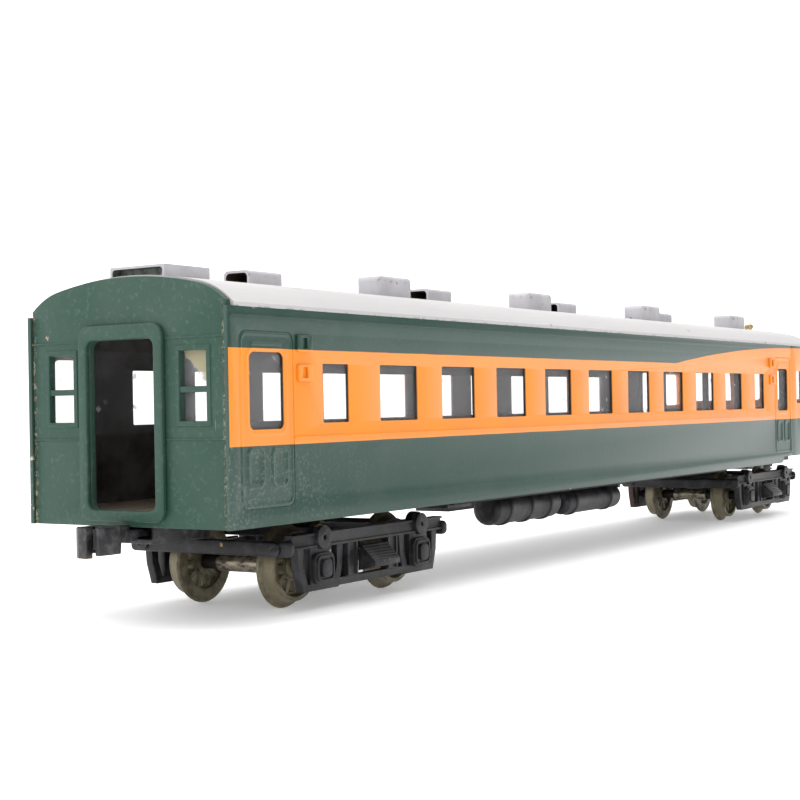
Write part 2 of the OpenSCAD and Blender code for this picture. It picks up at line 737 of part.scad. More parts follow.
module axle_at(i) {
    color("#6d6a60") from_rear(wheelset_xs[i]) translate([0, 0, axle_z]) turned_y() polygon([
        [0, -14.4], [journal_r, -14.4], [journal_r, -12.6], [axle_r, -12.6],
        [axle_r, -4.2], [1.35, -4.2], [1.35, 4.2], [axle_r, 4.2],
        [axle_r, 12.6], [journal_r, 12.6], [journal_r, 14.4], [0, 14.4]]);
}

// Wheel with its tyre, flange, spokes and hub, back face towards the middle
module wheel() {
    back = wheel_back;
    face = wheel_back + wheel_t;
    lip = tread_r + flange_h;
    difference() {
        turned_y() polygon([
            [axle_r, back], [hub_r, back], [hub_r, back + 0.4], [rim_r, back + 0.4], [rim_r, back],
            [lip - 0.3, back], [lip, back + 0.3], [lip - 0.1, back + 0.6], [tread_r + 0.1, back + 0.95],
            [tread_r - 0.15, face], [rim_r + 0.35, face], [rim_r, face - 0.9], [hub_r, face - 0.9],
            [hub_r, face - 0.5], [hub_r - 0.4, face], [axle_r, face]]);
        for (i = [0:spoke_n - 1]) rotate([0, i * 360 / spoke_n, 0]) upright(back - 1, face + 1) spoke_gap();
    }
}

// Opening between two spokes
module spoke_gap() {
    r0 = hub_r + 0.25;
    r1 = rim_r - 0.25;
    half = tan(180 / spoke_n);
    polygon([[-r0 * half + 0.36, r0], [r0 * half - 0.36, r0], [r1 * half - 0.36, r1], [-r1 * half + 0.36, r1]]);
}
module wheels_at(i) {
    color("#8b8550") from_rear(wheelset_xs[i]) translate([0, 0, axle_z]) {
        wheel();
        rotate([0, 0, 180]) wheel();
    }
}
module axle_1() { axle_at(0); }
module axle_2() { axle_at(1); }
module axle_3() { axle_at(2); }
module axle_4() { axle_at(3); }
module wheels_1() { wheels_at(0); }
module wheels_2() { wheels_at(1); }
module wheels_3() { wheels_at(2); }
module wheels_4() { wheels_at(3); }

side_right();
side_left();
rear_end();
gangway_frame();
cab_front();
cab_door();
roof();
roof_vent_wide();
roof_vent_1();
roof_vent_2();
roof_vent_3();
roof_vent_4();
roof_vent_5();
roof_vent_6();
roof_vent_7();
roof_vent_8();
whistle();
floor();
cab_bulkhead();
glazing_right();
glazing_left();
glazing_rear();
glazing_cab();
door_rear_right();
door_rear_left();
door_front_right();
door_front_left();
board_holders();
headlights();
headlight_lenses();
tail_lights();
main_reservoir();
slim_reservoir();
equipment_box();
brake_gear();
coupler_pocket_rear();
coupler_pocket_front();
king_screws();
rear_side_frame_right();
rear_side_frame_left();
rear_end_beams();
rear_bolster();
rear_frame_screws();
front_side_frame_right();
front_side_frame_left();
front_end_beams();
front_bolster();
front_frame_screws();
axle_1();
axle_2();
axle_3();
axle_4();
wheels_1();
wheels_2();
wheels_3();
wheels_4();
coupler_rear();
knuckle_rear();
coupler_front();
knuckle_front();
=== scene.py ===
import json
import math

import bmesh
import bpy
from bpy.props import FloatProperty, FloatVectorProperty, IntProperty, PointerProperty
from mathutils import Matrix, Vector


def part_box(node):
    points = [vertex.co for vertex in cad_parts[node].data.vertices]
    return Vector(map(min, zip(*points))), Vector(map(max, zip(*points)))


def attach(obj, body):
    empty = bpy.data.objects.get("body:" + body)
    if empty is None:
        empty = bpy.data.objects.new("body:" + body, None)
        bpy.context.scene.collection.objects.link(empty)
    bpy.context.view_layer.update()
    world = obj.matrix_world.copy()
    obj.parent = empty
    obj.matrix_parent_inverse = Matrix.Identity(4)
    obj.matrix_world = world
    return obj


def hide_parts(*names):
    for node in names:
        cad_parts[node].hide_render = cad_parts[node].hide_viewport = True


bl_info = {
    "name": "Model passenger coach",
    "version": (1, 0, 0),
    "blender": (4, 5, 0),
    "location": "View3D > Sidebar > Coach",
    "description": "Paint, wear and fine shapes of a model railway coach on its packed frame",
    "category": "Object",
}

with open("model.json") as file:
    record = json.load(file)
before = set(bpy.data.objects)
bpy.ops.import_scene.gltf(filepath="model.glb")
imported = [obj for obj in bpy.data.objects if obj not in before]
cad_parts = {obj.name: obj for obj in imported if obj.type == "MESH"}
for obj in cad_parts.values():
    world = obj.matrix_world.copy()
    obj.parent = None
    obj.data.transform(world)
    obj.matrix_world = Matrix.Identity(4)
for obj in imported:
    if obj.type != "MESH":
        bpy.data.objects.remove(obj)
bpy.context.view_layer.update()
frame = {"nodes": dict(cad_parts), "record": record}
SLOTS = {part["node"]: part["material_slot"] for part in frame["record"]["subparts"]}
BODY_OF = {node: body for body, nodes in frame["record"]["behaviour"]["bodies"].items() for node in nodes}
MM = 0.001

# The body's own faces, in millimetres, from which most other places are worked out
SIDE_LOW, SIDE_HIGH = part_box("side_right")
REAR_X = SIDE_LOW.x / MM
SIDE_Y = -SIDE_LOW.y / MM - 0.15
SIDE_Z0 = SIDE_LOW.z / MM
SIDE_Z1 = SIDE_HIGH.z / MM
CAB_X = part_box("cab_front")[0].x / MM

# The pane and the two pressed panels of a passenger door, in millimetres from the middle of the door and
# from the lower edge of the body
PANE_HALF = 3.7
PANE_LOW, PANE_HIGH = 12.95, 23.25
PANE_CORNER = 1.0
PANEL_OUT = 2.6
PANEL_HALF = 1.6
PANEL_LOW, PANEL_HIGH = 5.4, 10.4
DOOR_CORNER = 1.35

# Colours of worn places and of the card inside the body
BARE_BRASS = (0.36, 0.27, 0.13)
CARD_DARK = (0.016, 0.014, 0.012)
CARD_PALE = (0.055, 0.05, 0.046)
CHIP_PALE = (0.5, 0.42, 0.3)

# The stage: the direction in which its surroundings are brightest, half the table's side in metres, the
# camera's sensor in millimetres and the nearest distance that it sees in metres
WHITE = (1, 1, 1, 1)
BRIGHT_SIDE = (0.12, 0.99, 0.4)
TABLE_HALF = 6.0
SENSOR_WIDTH = 36
NEAREST_SEEN = 0.005


# ------------------------------------------------------------------ settings


class CoachPaint(bpy.types.PropertyGroup):
    """Colours of the coach."""

    green: FloatVectorProperty(
        name="Green", description="Body below and above the window band", subtype="COLOR",
        default=(0.012, 0.058, 0.04), min=0, max=1)
    orange: FloatVectorProperty(
        name="Orange", description="Band along the windows", subtype="COLOR",
        default=(0.88, 0.27, 0.012), min=0, max=1)
    roof: FloatVectorProperty(
        name="Roof", description="Roof paint", subtype="COLOR",
        default=(0.49, 0.475, 0.475), min=0, max=1)
    vents: FloatVectorProperty(
        name="Ventilators", description="Ventilator paint", subtype="COLOR",
        default=(0.5, 0.49, 0.515), min=0, max=1)
    black: FloatVectorProperty(
        name="Underframe", description="Bogies, tanks and couplers", subtype="COLOR",
        default=(0.006, 0.0058, 0.0068), min=0, max=1)
    brass: FloatVectorProperty(
        name="Wheels", description="Darkened brass of the wheels", subtype="COLOR",
        default=(0.18, 0.16, 0.1), min=0, max=1)
    band_low: FloatProperty(
        name="Band bottom", description="Height of the lower edge of the band, in mm",
        default=24.3, min=20, max=27)
    band_high: FloatProperty(
        name="Band top", description="Height of the upper edge of the band, in mm",
        default=37.25, min=36, max=41)
    band_rise: FloatProperty(
        name="Band rise", description="How much higher the upper edge is at the cab, in mm",
        default=4.9, min=0, max=5)


class CoachShape(bpy.types.PropertyGroup):
    """Sizes of the fine shapes that are added to the frame."""

    sheet_edge: FloatProperty(
        name="Sheet edges", description="Radius of the edges of the sides, end and screws",
        default=0.08 * MM, min=0.02 * MM, max=0.3 * MM, unit="LENGTH")
    fine_edge: FloatProperty(
        name="Fine edges", description="Radius of the edges of side frames and wheels",
        default=0.1 * MM, min=0.02 * MM, max=0.3 * MM, unit="LENGTH")
    cab_edge: FloatProperty(
        name="Cab edges", description="Radius of the edges of the cab and its lamps",
        default=0.12 * MM, min=0.02 * MM, max=0.3 * MM, unit="LENGTH")
    casting_edge: FloatProperty(
        name="Casting edges", description="Radius of the edges of tanks, boxes, bolsters and coupler heads",
        default=0.16 * MM, min=0.02 * MM, max=0.3 * MM, unit="LENGTH")
    soft_edge: FloatProperty(
        name="Soft edges", description="Radius of the edges of ventilators and knuckles",
        default=0.2 * MM, min=0.02 * MM, max=0.3 * MM, unit="LENGTH")
    gangway_edge: FloatProperty(
        name="Gangway edges", description="Radius of the edges of the gangway frame",
        default=0.25 * MM, min=0.02 * MM, max=0.3 * MM, unit="LENGTH")
    beam_edge: FloatProperty(
        name="Beam edges", description="Radius of the edges of the bogies' end beams",
        default=0.3 * MM, min=0.02 * MM, max=0.4 * MM, unit="LENGTH")
    emboss: FloatProperty(
        name="Door relief", description="Height of the pressed lines on the doors", default=0.2 * MM,
        min=0, max=0.3 * MM, unit="LENGTH")
    grid: FloatProperty(
        name="Door mesh size", description="Distance between the points of a door's face",
        default=0.12 * MM, min=0.05 * MM, max=0.5 * MM, unit="LENGTH")
    bevel_steps: IntProperty(
        name="Edge steps", description="Segments of each rounded edge", default=2, min=1, max=4)
    soft_steps: IntProperty(
        name="Soft edge steps", description="Segments of the edges of ventilators and gangway",
        default=3, min=1, max=6)


class CoachView(bpy.types.PropertyGroup):
    """Camera and lights."""

    camera: FloatVectorProperty(
        name="Camera", description="Place of the camera", subtype="TRANSLATION", unit="LENGTH",
        default=(-273.55 * MM, -142.95 * MM, 29.22 * MM))
    yaw: FloatProperty(
        name="Yaw", description="Direction of view, from +X towards +Y", subtype="ANGLE",
        default=math.radians(32.96))
    pitch: FloatProperty(
        name="Pitch", description="Upward tilt of the view", subtype="ANGLE", default=math.radians(0.236))
    roll: FloatProperty(
        name="Roll", description="Turn of the camera about its own axis", subtype="ANGLE",
        default=math.radians(-1.035))
    lens: FloatProperty(name="Lens", description="Focal length in mm", default=68.08, min=20, max=200)
    sky: FloatProperty(
        name="Surroundings", description="Brightness of the white surroundings", subtype="FACTOR",
        default=1.6, min=0, max=5)
    room: FloatProperty(
        name="Room", description="Brightness of the room on the right", subtype="FACTOR",
        default=0.3, min=0, max=5)
    key: FloatProperty(
        name="Softbox", description="Power of the overhead softbox", subtype="POWER",
        default=3.0, min=0, max=100)
    fill: FloatProperty(
        name="Fill", description="Power of the light beside the camera", subtype="POWER",
        default=2.0, min=0, max=100)


def paint():
    return bpy.context.scene.coach_paint


def shape():
    return bpy.context.scene.coach_shape


def view():
    return bpy.context.scene.coach_view


# ----------------------------------------------------------------- materials


class Value:
    """A socket of a node tree that sums and products can be written with."""

    def __init__(self, nodes, socket):
        self.nodes = nodes
        self.socket = socket

    def _math(self, operation, first, second):
        return self.nodes.node("ShaderNodeMath", {"operation": operation}, {0: first, 1: second})

    def __add__(self, other):
        return self._math("ADD", self, other)

    def __radd__(self, other):
        return self._math("ADD", other, self)

    def __sub__(self, other):
        return self._math("SUBTRACT", self, other)

    def __rsub__(self, other):
        return self._math("SUBTRACT", other, self)

    def __mul__(self, other):
        return self._math("MULTIPLY", self, other)

    def __rmul__(self, other):
        return self._math("MULTIPLY", other, self)

    def __gt__(self, other):
        return self._math("GREATER_THAN", self, other)

    def __lt__(self, other):
        return self._math("LESS_THAN", self, other)

    def __abs__(self):
        return self._math("ABSOLUTE", self, 0)

    def output(self, name):
        """Another output of the node that this socket is on."""
        return Value(self.nodes, self.socket.node.outputs[name])

    def either(self, other):
        """The larger of the two, which joins masks."""
        return self._math("MAXIMUM", self, other)

    def rises(self, low, high):
        """0 below low, 1 above high and a smooth step between them."""
        settings = {"interpolation_type": "SMOOTHSTEP"}
        return self.nodes.node("ShaderNodeMapRange", settings, {0: self, 1: low, 2: high, 3: 0.0, 4: 1.0})

    def falls(self, low, high):
        """1 below low, 0 above high and a smooth step between them."""
        return 1 - self.rises(low, high)

    def near(self, place, width):
        """1 at place, falling to 0 at width from it."""
        return abs(self - place).falls(0, width)

    def turned(self, factor):
        """The vector of this socket with each part multiplied by that of factor."""
        return self.nodes.node("ShaderNodeVectorMath", {"operation": "MULTIPLY"}, {0: self, 1: factor})


class Nodes:
    """The nodes of a material or of the surroundings."""

    def __init__(self, tree):
        self.tree = tree

    def node(self, kind, settings=None, inputs=None, output=0):
        """Adds a node, fills its settings and then its sockets, and returns one of its outputs."""
        made = self.tree.nodes.new(kind)
        for key, value in (settings or {}).items():
            if key == "stops":
                self.fill_ramp(made.color_ramp, value)
            else:
                setattr(made, key, value)
        for key, value in (inputs or {}).items():
            self.join(value, made.inputs[key])
        return Value(self, made.outputs[output])

    def fill_ramp(self, ramp, stops):
        """Gives a new colour ramp its places and colours."""
        while len(ramp.elements) < len(stops):
            ramp.elements.new(0.5)
        for element, (place, colour) in zip(ramp.elements, stops):
            element.position = place
            element.color = (*colour[:3], 1)

    def join(self, value, socket):
        """Links a value to a socket, or sets the socket where the value is a plain number or colour."""
        if isinstance(value, Value):
            self.tree.links.new(value.socket, socket)
        else:
            socket.default_value = value


class Finish(Nodes):
    """A material in the making, with the coach's own coordinates in millimetres."""

    def __init__(self, name, colour, roughness, metallic=0.0, constants=None):
        self.material = bpy.data.materials.new(name)
        self.material.use_nodes = True
        super().__init__(self.material.node_tree)
        self.shader = self.tree.nodes["Principled BSDF"]
        self.shader.inputs["Base Color"].default_value = (*colour[:3], 1)
        self.shader.inputs["Roughness"].default_value = roughness
        self.shader.inputs["Metallic"].default_value = metallic
        for key, value in (constants or {}).items():
            self.shader.inputs[key].default_value = value
        place = self.node("ShaderNodeTexCoord", output="Object")
        self.place = place.turned((1 / MM, 1 / MM, 1 / MM))
        parts = self.node("ShaderNodeSeparateXYZ", None, {0: self.place})
        self.x, self.y, self.z = (parts.output(axis) for axis in "XYZ")

    def noise(self, size, detail=3.0, roughness=0.55, stretch=(1, 1, 1)):
        """Smooth noise whose lumps are about size millimetres across."""
        sockets = {"Vector": self.place.turned(stretch), "Scale": 1 / size, "Detail": detail}
        return self.node("ShaderNodeTexNoise", None, {**sockets, "Roughness": roughness})

    def flecks(self, size, share):
        """Small ragged spots: a share of the cells of that size holds one."""
        distance = self.node("ShaderNodeTexVoronoi", None, {"Vector": self.place, "Scale": 1 / size})
        chance = self.node("ShaderNodeSeparateColor", None, {0: distance.output("Color")})
        ragged = distance + (self.noise(size * 0.3) - 0.5) * 0.5
        return ragged.falls(0.16, 0.24) * (chance < share)

    def mix(self, mask, first, second):
        """First colour where the mask is 0, second where it is 1."""
        sockets = {0: mask}
        for index, colour in ((6, first), (7, second)):
            sockets[index] = colour if isinstance(colour, Value) else (*colour[:3], 1)
        return self.node("ShaderNodeMix", {"data_type": "RGBA"}, sockets, output=2)

    def shades(self, value, *stops):
        """A colour ramp along value."""
        return self.node("ShaderNodeValToRGB", {"stops": stops}, {0: value})

    def feed(self, **links):
        """Links values to the shader's sockets, whose names are written with underscores."""
        for key, value in links.items():
            self.join(value, self.shader.inputs[key.replace("_", " ")])

    def relief(self, height, depth, strength=1.0):
        """Bump whose full height is depth millimetres."""
        self.feed(Normal=self.node("ShaderNodeBump", None, {
            "Strength": strength, "Distance": depth * MM, "Height": height}))


def tint(colour, factor):
    return tuple(min(1.0, c * factor) for c in colour[:3])


def band_mask(f):
    """1 on the orange band, whose upper edge climbs towards the cab."""
    p = paint()
    climb_start, climb_length = REAR_X + 148, 80
    soft = 0.05
    wobble = (f.noise(9) - 0.5) * 0.16
    climb = ((f.x - climb_start) * (1 / climb_length)).either(0.0)
    top = (climb * 1.9 - climb * climb * 0.9) * p.band_rise + p.band_high + wobble
    above = (f.z - (p.band_low + wobble)).rises(-soft, soft)
    return above * (f.z - top).falls(-soft, soft)


def lived_in(f, colour, chips, inside, pale=CHIP_PALE, speckle=0.5, grey=0.22):
    """Brushed paint with soft mottling, dust and a few chips, and dark bare card on the inside."""
    dull, dusty = (0.12, 0.15, 0.13), (0.22, 0.27, 0.24)
    mottling = f.noise(14, 4, 0.6)
    colour = f.mix(mottling.rises(0.35, 0.75) * 0.25, colour, f.mix(0.5, colour, dull))
    grain = f.noise(speckle, 2, 0.5)
    colour = f.mix(grain.rises(0.52, 0.78) * grey, colour, f.mix(0.6, colour, dusty))
    colour = f.mix(chips, colour, pale)
    card = f.mix(f.noise(4, 4).rises(0.35, 0.7), CARD_DARK, CARD_PALE)
    f.feed(Base_Color=f.mix(inside, colour, card))
    f.feed(Roughness=0.36 + mottling * 0.16 + chips * 0.3 + inside * 0.25 + grain * 0.06)
    f.relief(grain * 0.55 + f.noise(speckle * 3.5, 2) * 0.6 + f.noise(30, 2) * 1.2 - chips * 1.2, 0.09, 0.6)


def chips_near_edges(f):
    """Chips along the corners and the lower edge of the body, and a few anywhere above it."""
    edge = f.x.near(REAR_X, 0.9).either(f.z.near(SIDE_Z0, 0.3)).either(f.z.near(SIDE_Z1, 0.3))
    edge = edge * (f.noise(1.3, 4, 0.7) > 0.66)
    strays = f.flecks(2.6, 0.01) * f.z.rises(14, 16)
    return edge.either(strays * 0.8)


def painted_door_glints(f):
    """Painted highlights: pale specks that stand for the glints of thick, coarse-grained paint on the lower
    part of the rear door and the sheet beside it.
    """
    grain = f.noise(0.42, 2, 0.5).rises(0.48, 0.72)
    place = f.x.falls(REAR_X + 14, REAR_X + 34) * f.z.falls(SIDE_Z0 + 9, SIDE_Z0 + 12)
    return grain * place * (f.noise(7, 3).rises(0.4, 0.6) * 0.13 + 0.04)


def side_paint(name):
    """Green with the orange band outside, painted highlights of glinting paint by the rear door, and dark
    card inside.
    """
    p = paint()
    sheen = {"Specular IOR Level": 0.3, "Coat Weight": 0.48, "Coat Roughness": 0.3}
    f = Finish(name, p.green, 0.42, constants=sheen)
    # The second colour is a painted highlight: pale green specks for the glints of coarse paint by the rear
    # door
    worn_green, glint_highlight_green = (0.3, 0.32, 0.2), (0.34, 0.42, 0.38)
    behind = abs(f.y).falls(SIDE_Y - 0.3, SIDE_Y - 0.2) * f.x.falls(REAR_X + 1, REAR_X + 1.2)
    band = band_mask(f) * f.x.rises(REAR_X + 0.02, REAR_X + 0.12) * (1 - behind)
    worn_edge = f.noise(2.2, 4, 0.7).rises(0.62, 0.7) * band * (1 - band) * 3
    inside = abs(f.y).falls(SIDE_Y - 0.2, SIDE_Y - 0.12)
    inside = inside * f.x.rises(REAR_X + 0.3, REAR_X + 0.4) * f.x.falls(CAB_X - 0.1, CAB_X - 0.02)
    colour = f.mix(worn_edge, f.mix(band, tint(p.green, 0.82), p.orange), worn_green)
    # Pale specks near the rear door are painted highlights, the glints of coarse paint, not a colour of the
    # paint
    colour = f.mix(painted_door_glints(f), colour, glint_highlight_green)
    lived_in(f, colour, chips_near_edges(f), inside, speckle=0.42, grey=0.1)
    return f.material


def end_paint(name):
    """Brushed green with scratches that run up and down, bare where it has worn."""
    p = paint()
    f = Finish(name, p.green, 0.45, constants={"Specular IOR Level": 0.3})
    rusty, bare_card, greyed = (0.2, 0.13, 0.07), (0.5, 0.45, 0.36), (0.2, 0.17, 0.14)
    scratches = f.noise(0.5, 4, 0.7, stretch=(1, 1, 0.06)).rises(0.66, 0.72) * 0.5
    seam = abs(f.y).near(SIDE_Y - 0.6, 0.9) * (f.noise(0.9, 4, 0.7) > 0.5)
    bare = seam.either(f.flecks(1.6, 0.005)).either(scratches * (f.noise(6) > 0.62))
    brown = f.mix(f.noise(1.1) > 0.5, rusty, bare_card)
    inside = f.x.rises(REAR_X + 1.25, REAR_X + 1.35)
    lived_in(f, f.mix(0.05, p.green, greyed), bare * 0.75, inside, pale=brown, speckle=0.7)
    return f.material


def roof_finish(name):
    """Pale grey with long stains, dark specks and green along the gutters."""
    p = paint()
    f = Finish(name, p.roof, 0.55)
    speck = (0.16, 0.14, 0.12)
    stain = f.noise(16, 5, 0.62, stretch=(0.35, 1, 1))
    colour = f.mix(stain.rises(0.45, 0.8) * 0.5, p.roof, tint(p.roof, 0.8))
    colour = f.mix(f.flecks(2.2, 0.05) * 0.7, colour, speck)
    edge = f.z.near(SIDE_Z1, 0.3) * (f.noise(1.6, 4, 0.7) > 0.55)
    colour = f.mix(edge * 0.6, colour, tint(p.green, 2.4))
    f.feed(Base_Color=colour, Roughness=0.45 + stain * 0.25)
    f.relief(f.noise(0.7, 3) + f.noise(6, 3) * 1.5, 0.05, 0.5)
    return f.material


def hollows(f):
    """1 inside the open ends of the ventilators."""
    low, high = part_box("roof_vent_wide")
    inner = (f.x > low.x / MM + 0.05) * (f.x < low.x / MM + 2.5) * (abs(f.y) < high.y / MM - 0.35)
    found = inner * (f.z < high.z / MM - 0.3)
    for number in range(1, 9):
        low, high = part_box(f"roof_vent_{number}")
        sign = 1 if high.y > 0 else -1
        mouth = low.x / MM if sign > 0 else high.x / MM
        inner = (abs(f.x - (mouth + sign * 3.8)) < 3.75) * (abs(f.y - (low.y + high.y) / 2 / MM) < 2.15)
        found = found.either(inner * (f.z < high.z / MM - 0.36))
    return found


def vent_finish(name):
    """Grey ventilators, rusty along the top, dark brown inside the mouths."""
    p = paint()
    f = Finish(name, p.vents, 0.55)
    rust_brown, speck, grime = (0.3, 0.24, 0.2), (0.1, 0.08, 0.06), (0.045, 0.04, 0.025)
    mouth_dark_brown, green_shade = (0.04, 0.032, 0.024), (0.11, 0.14, 0.12)
    rust = f.noise(1.6, 5, 0.7).rises(0.56, 0.66)
    colour = f.mix(f.noise(4, 4).rises(0.4, 0.7), p.vents, tint(p.vents, 0.86))
    colour = f.mix(rust * f.z.near(SIDE_Z1 + 7, 0.6), colour, rust_brown)
    colour = f.mix(f.flecks(1.4, 0.03) * 0.7, colour, speck)
    # Inside the mouths: dark brown, green in the wide ventilator at the near end, with random patches of a
    # browner tone
    dark = f.mix(f.x < REAR_X + 14, mouth_dark_brown, green_shade)
    colour = f.mix(hollows(f), colour, f.mix(f.noise(1.1, 4).rises(0.45, 0.7), dark, grime))
    f.feed(Base_Color=colour, Roughness=0.5 + rust * 0.3)
    f.relief(f.noise(0.5, 3), 0.05, 0.5)
    return f.material


def black_finish(name, dust=0.6, worn=0.04):
    """Satin black casting with purplish dust on it and metal showing at a few spots."""
    p = paint()
    f = Finish(name, p.black, 0.38, constants={"Specular IOR Level": 0.38})
    dust_grey, bare = (0.1, 0.096, 0.108), (0.32, 0.24, 0.12)
    film = f.noise(3.2, 5, 0.65)
    spots = f.flecks(1.7, worn)
    colour = f.mix(spots, f.mix(film.rises(0.42, 0.78) * dust, p.black, dust_grey), bare)
    f.feed(Base_Color=colour, Roughness=0.33 + film * 0.22 - spots * 0.05, Metallic=spots * 0.9)
    f.relief(f.noise(0.35, 3) + f.noise(1.6, 3), 0.05, 0.6)
    return f.material


def bogie_finish(name):
    """Black casting, rubbed to brass on the footsteps and lugs, rusty on the left at the cab end."""
    p = paint()
    f = Finish(name, p.black, 0.38, constants={"Specular IOR Level": 0.38})
    dust_grey, rust_red = (0.09, 0.086, 0.1), (0.12, 0.045, 0.022)
    film = f.noise(2.6, 5, 0.65)
    colour = f.mix(film.rises(0.42, 0.78) * 0.35, p.black, dust_grey)
    footsteps = abs(f.y).rises(17.1, 17.3) * (f.noise(0.8, 4, 0.7) > 0.62)
    lugs = f.z.rises(12, 12.4) * (f.noise(0.9, 4, 0.7) > 0.52)
    rubbed = footsteps.either(lugs).either(f.flecks(1.5, 0.03))
    colour = f.mix(rubbed * 0.8, colour, BARE_BRASS)
    rust = f.y.rises(9, 12) * f.x.rises(0, 20) * f.noise(5, 4).rises(0.4, 0.55)
    colour = f.mix(rust * 0.3, colour, rust_red)
    f.feed(Base_Color=colour, Roughness=0.34 + film * 0.2, Metallic=rubbed * 0.8)
    f.relief(f.noise(0.3, 3) + f.noise(1.4, 3), 0.05, 0.7)
    return f.material


def wheel_finish(name):
    """Darkened brass, brighter where the wheel runs on the rail."""
    p = paint()
    f = Finish(name, p.brass, 0.42, 0.4)
    grime_brown, rubbed_brass = (0.075, 0.062, 0.035), (0.3, 0.26, 0.17)
    grime = f.noise(1.6, 5, 0.65)
    colour = f.mix(grime.rises(0.35, 0.7), p.brass, grime_brown)
    running = abs(f.y).rises(7.9, 8.2) * abs(f.y).falls(9.4, 9.9)
    colour = f.mix(running * grime.rises(0.4, 0.6) * 0.5, colour, rubbed_brass)
    f.feed(Base_Color=colour, Roughness=0.34 + grime * 0.26, Metallic=0.55 - grime * 0.35)
    f.relief(f.noise(0.3, 3) + grime, 0.03, 0.6)
    return f.material


def axle_finish(name):
    """Dark axle with a bright rubbed sleeve in the middle."""
    f = Finish(name, (0.03, 0.028, 0.026), 0.4, 0.7)
    oiled, stained, rubbed = (0.022, 0.02, 0.02), (0.04, 0.034, 0.028), (0.32, 0.28, 0.21)
    patchy = f.noise(0.9, 5, 0.7, stretch=(1, 0.5, 1))
    sleeve = abs(f.y).falls(3.9, 4.3)
    bright = f.mix(patchy.rises(0.36, 0.6), stained, rubbed)
    f.feed(Base_Color=f.mix(sleeve, oiled, bright), Roughness=0.5 - sleeve * 0.18)
    f.relief(patchy + f.noise(0.2), 0.04, 0.6)
    return f.material


def metal_finish(name, colour, dark, roughness=0.35):
    """Bare metal with patches of tarnish."""
    f = Finish(name, colour, roughness, 0.9)
    tarnish = f.noise(0.9, 5, 0.65)
    f.feed(Base_Color=f.mix(tarnish.rises(0.4, 0.7), colour, dark), Roughness=roughness + tarnish * 0.2)
    f.relief(f.noise(0.25, 3), 0.02, 0.5)
    return f.material


def floor_finish(name):
    """Bare planks that have darkened, lighter where they were scraped, and black underneath."""
    old_wood, plank, scraped = (0.04, 0.028, 0.02), (0.13, 0.095, 0.065), (0.3, 0.23, 0.16)
    black = (0.02, 0.019, 0.022)
    f = Finish(name, (0.12, 0.085, 0.055), 0.75)
    grain = f.noise(0.5, 5, 0.7, stretch=(0.05, 1, 1))
    colour = f.shades(grain, (0.3, old_wood), (0.5, plank), (0.72, scraped))
    under = f.z.falls(14.1, 14.3)
    f.feed(Base_Color=f.mix(under, colour, black), Roughness=0.6 + grain * 0.3)
    f.relief(grain, 0.08, 0.8)
    return f.material


def card_finish(name):
    """Dark blotched card of the wall behind the cab."""
    f = Finish(name, (0.03, 0.028, 0.028), 0.8)
    blotch = f.noise(5, 4)
    colour = f.mix(blotch, (0.022, 0.02, 0.02), (0.07, 0.062, 0.06))
    f.feed(Base_Color=colour, Roughness=0.7 + blotch * 0.2)
    f.relief(f.noise(0.6, 3), 0.05, 0.5)
    return f.material


def glass_finish(name):
    """Clear sheet that lets the light through, with cloudy smears and glue on the right end pane."""
    f = Finish(name, (0.78, 0.78, 0.8), 0.08, constants={"IOR": 1.45, "Specular IOR Level": 0.35})
    clear, glue_yellow = (0.72, 0.72, 0.74), (0.42, 0.38, 0.24)
    smear = f.noise(4.5, 6, 0.7)
    cloudy = smear.rises(0.6, 0.75) * 0.5
    end = f.x.falls(REAR_X + 1.9, REAR_X + 2.1) * f.y.falls(-9, -8.6) * (f.z > 32)
    across_pane = f.z - f.y - 42.1 + (f.noise(1.6, 4, 0.7) - 0.5) * 3
    glue = end * across_pane.rises(3.8, 4.6) * (1 - across_pane.rises(7.6, 8.6) * 0.5)
    haze = cloudy.either(glue * 0.85).either(f.flecks(2.1, 0.06) * 0.7)
    f.feed(Base_Color=f.mix(glue, clear, glue_yellow))
    f.feed(Alpha=haze * 0.75 + 0.1, Roughness=0.08 + haze * 0.5)
    f.relief(smear + glue * 2, 0.05, 0.5)
    return f.material


def lens_finish(name, colour, alpha):
    """Fluted lamp glass."""
    f = Finish(name, colour, 0.12, constants={"Alpha": alpha, "IOR": 1.5})
    ripple = f.noise(0.5, 2, stretch=(1, 1, 0.2))
    f.feed(Roughness=0.08 + ripple * 0.12, Base_Color=f.mix(ripple * 0.4, colour, tint(colour, 0.6)))
    f.relief(ripple, 0.05, 0.6)
    return f.material


def coupler_finish(name):
    """Black, rubbed to dark metal at the lower tip of the head."""
    p = paint()
    f = Finish(name, p.black, 0.4)
    dust_grey, worn_metal = (0.14, 0.13, 0.14), (0.13, 0.1, 0.08)
    film = f.noise(1.4, 5, 0.65)
    tip = f.z.falls(10.0, 10.5) * f.noise(0.8, 3).rises(0.3, 0.5)
    colour = f.mix(tip * 0.6, f.mix(film.rises(0.4, 0.75) * 0.45, p.black, dust_grey), worn_metal)
    f.feed(Base_Color=colour, Roughness=0.34 + film * 0.25, Metallic=tip * 0.8)
    f.relief(f.noise(0.3, 3) + film, 0.05, 0.7)
    return f.material


